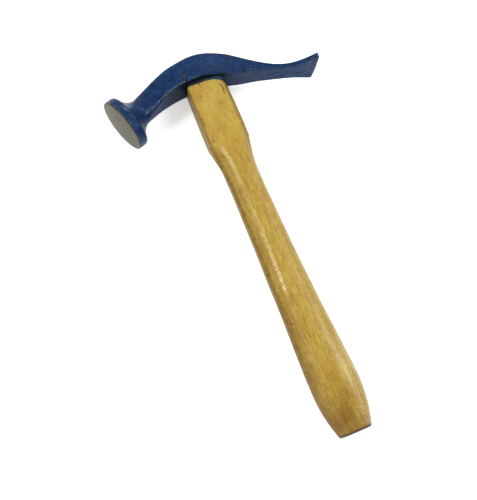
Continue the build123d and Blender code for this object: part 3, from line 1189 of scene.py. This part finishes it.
def mark_handle(mesh):
    """Masks of the handle's cracks and specks, brown marks, browner towards the butt, painted
    shade left of the arris on the lower shaft, and end grain at both ends.
    """
    points = hammer_points(mesh)
    x, y = points[:, 0], points[:, 1]
    crack = stroke(points, CRACK, CRACK_RADIUS)
    set_mask(mesh, "dark", np.maximum(crack, spots(points, DARK_SPECKS)))
    brown = BROWN_SPOT_STRENGTH * spots(points, BROWN_SPOTS)
    for path, radius, strength in BROWN_STREAKS:
        brown = np.maximum(brown, strength * stroke(points, path, radius))
    # Browner towards the butt, more on the left.
    brown_butt = ease(-225, -262, y) * np.where(x < 3, 0.75, 0.45)
    left_of_arris = along_line(LEFT_ARRIS, y) - x
    # Painted shade left of the arris on the lower shaft and the swell.
    shade_left_of_arris = 0.3 * ease(0, 4, left_of_arris) * ease(-170, -195, y)
    set_mask(mesh, "brown", np.maximum.reduce([brown, brown_butt, shade_left_of_arris]))
    butt = ease(BUTT_Y + 1.9, BUTT_Y + 1.0, y)
    set_mask(mesh, "end", np.maximum(butt, ease(-2, 1, y)))


# ---------------------------------------------------------------------------------------------
# The pieces
# ---------------------------------------------------------------------------------------------

WEDGES = ("wooden_wedge", "steel_wedge_front", "steel_wedge_rear")

head = make_head()
wear_face(head.data)
wear_forging(head.data)
head.data.materials.append(blue_enamel())
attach(head, "root")
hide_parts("head")

handle = make_handle([frame["nodes"][name] for name in WEDGES])
paint_handle(handle.data)
shade_and_highlight_handle(handle.data)
mark_handle(handle.data)
handle.data.materials.clear()
handle.data.materials.append(varnished_wood())
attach(handle, "root")
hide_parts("handle")

wood_finish = wedge_wood()
steel_finish = wedge_steel()
for name in WEDGES:
    finish = wood_finish if name == "wooden_wedge" else steel_finish
    for material_slot in frame["nodes"][name].material_slots:
        material_slot.material = finish

# ---------------------------------------------------------------------------------------------
# Floor, lights and camera
# ---------------------------------------------------------------------------------------------

FLOOR_HALF = 3.0
ZENITH_LIGHT = 0.30
RING_LIGHT = 2.2
HORIZON_LIGHT = 0.35
RING_BOTTOM_ANGLES = (5, 32)
RING_TOP_ANGLES = (50, 64)
CAMERA_PLACE = (-0.10663, -0.14714, 0.48513)
CAMERA_TURN = (19.104, -2.127, -22.198)
CAMERA_LENS = 54.0
CAMERA_SENSOR = 36

floor_mesh = bpy.data.meshes.new("floor")
floor_corners = [
    (-FLOOR_HALF, -FLOOR_HALF, 0),
    (FLOOR_HALF, -FLOOR_HALF, 0),
    (FLOOR_HALF, FLOOR_HALF, 0),
    (-FLOOR_HALF, FLOOR_HALF, 0),
]
floor_mesh.from_pydata(floor_corners, [], [(0, 1, 2, 3)])
floor_mesh.materials.append(pale_floor())
add_object("floor", floor_mesh)


def studio_sky():
    """White studio with a bright ring of light between a dim zenith and a dim horizon."""
    world = bpy.data.worlds.new("studio")
    world.use_nodes = True
    nodes, links = world.node_tree.nodes, world.node_tree.links
    direction = nodes.new("ShaderNodeTexCoord").outputs["Generated"]
    parts = nodes.new("ShaderNodeSeparateXYZ")
    links.new(direction, parts.inputs[0])

    def smooth_step(angles, start, end):
        """Smooth change from start to end between two angles over the horizon."""
        step = nodes.new("ShaderNodeMapRange")
        step.interpolation_type = "SMOOTHSTEP"
        step.inputs["From Min"].default_value = math.sin(math.radians(angles[0]))
        step.inputs["From Max"].default_value = math.sin(math.radians(angles[1]))
        step.inputs["To Min"].default_value = start
        step.inputs["To Max"].default_value = end
        links.new(parts.outputs["Z"], step.inputs["Value"])
        return step.outputs["Result"]

    strength = nodes.new("ShaderNodeMath")
    strength.operation = "MULTIPLY"
    rise = smooth_step(RING_BOTTOM_ANGLES, HORIZON_LIGHT, RING_LIGHT)
    fall = smooth_step(RING_TOP_ANGLES, 1.0, ZENITH_LIGHT / RING_LIGHT)
    links.new(rise, strength.inputs[0])
    links.new(fall, strength.inputs[1])
    background = nodes["Background"]
    background.inputs["Color"].default_value = (1, 1, 1, 1)
    links.new(strength.outputs["Value"], background.inputs["Strength"])
    bpy.context.scene.world = world


def softbox(name, place, size, power):
    """Square area light at a place from the middle of the hammer, which it faces."""
    light = bpy.data.lights.new(name, "AREA")
    light.size = size
    light.energy = power
    lamp = bpy.data.objects.new(name, light)
    place = Vector(place)
    lamp.location = (cad_box[0] + cad_box[1]) / 2 + place
    lamp.rotation_euler = place.to_track_quat("Z", "Y").to_euler()
    bpy.context.scene.collection.objects.link(lamp)


studio_sky()
softbox("left_lamp", (-0.45, 0.27, 0.84), 0.20, 3.2)
softbox("right_lamp", (0.58, 0.02, 0.78), 0.26, 2.3)

camera_data = bpy.data.cameras.new("camera")
camera_data.sensor_width = CAMERA_SENSOR
camera_data.lens = CAMERA_LENS
camera_data.clip_start = 0.01
camera = bpy.data.objects.new("camera", camera_data)
camera.location = CAMERA_PLACE
camera.rotation_euler = Euler([math.radians(angle) for angle in CAMERA_TURN])
bpy.context.scene.collection.objects.link(camera)
bpy.context.scene.camera = camera
bpy.context.scene.view_settings.view_transform = "Standard"
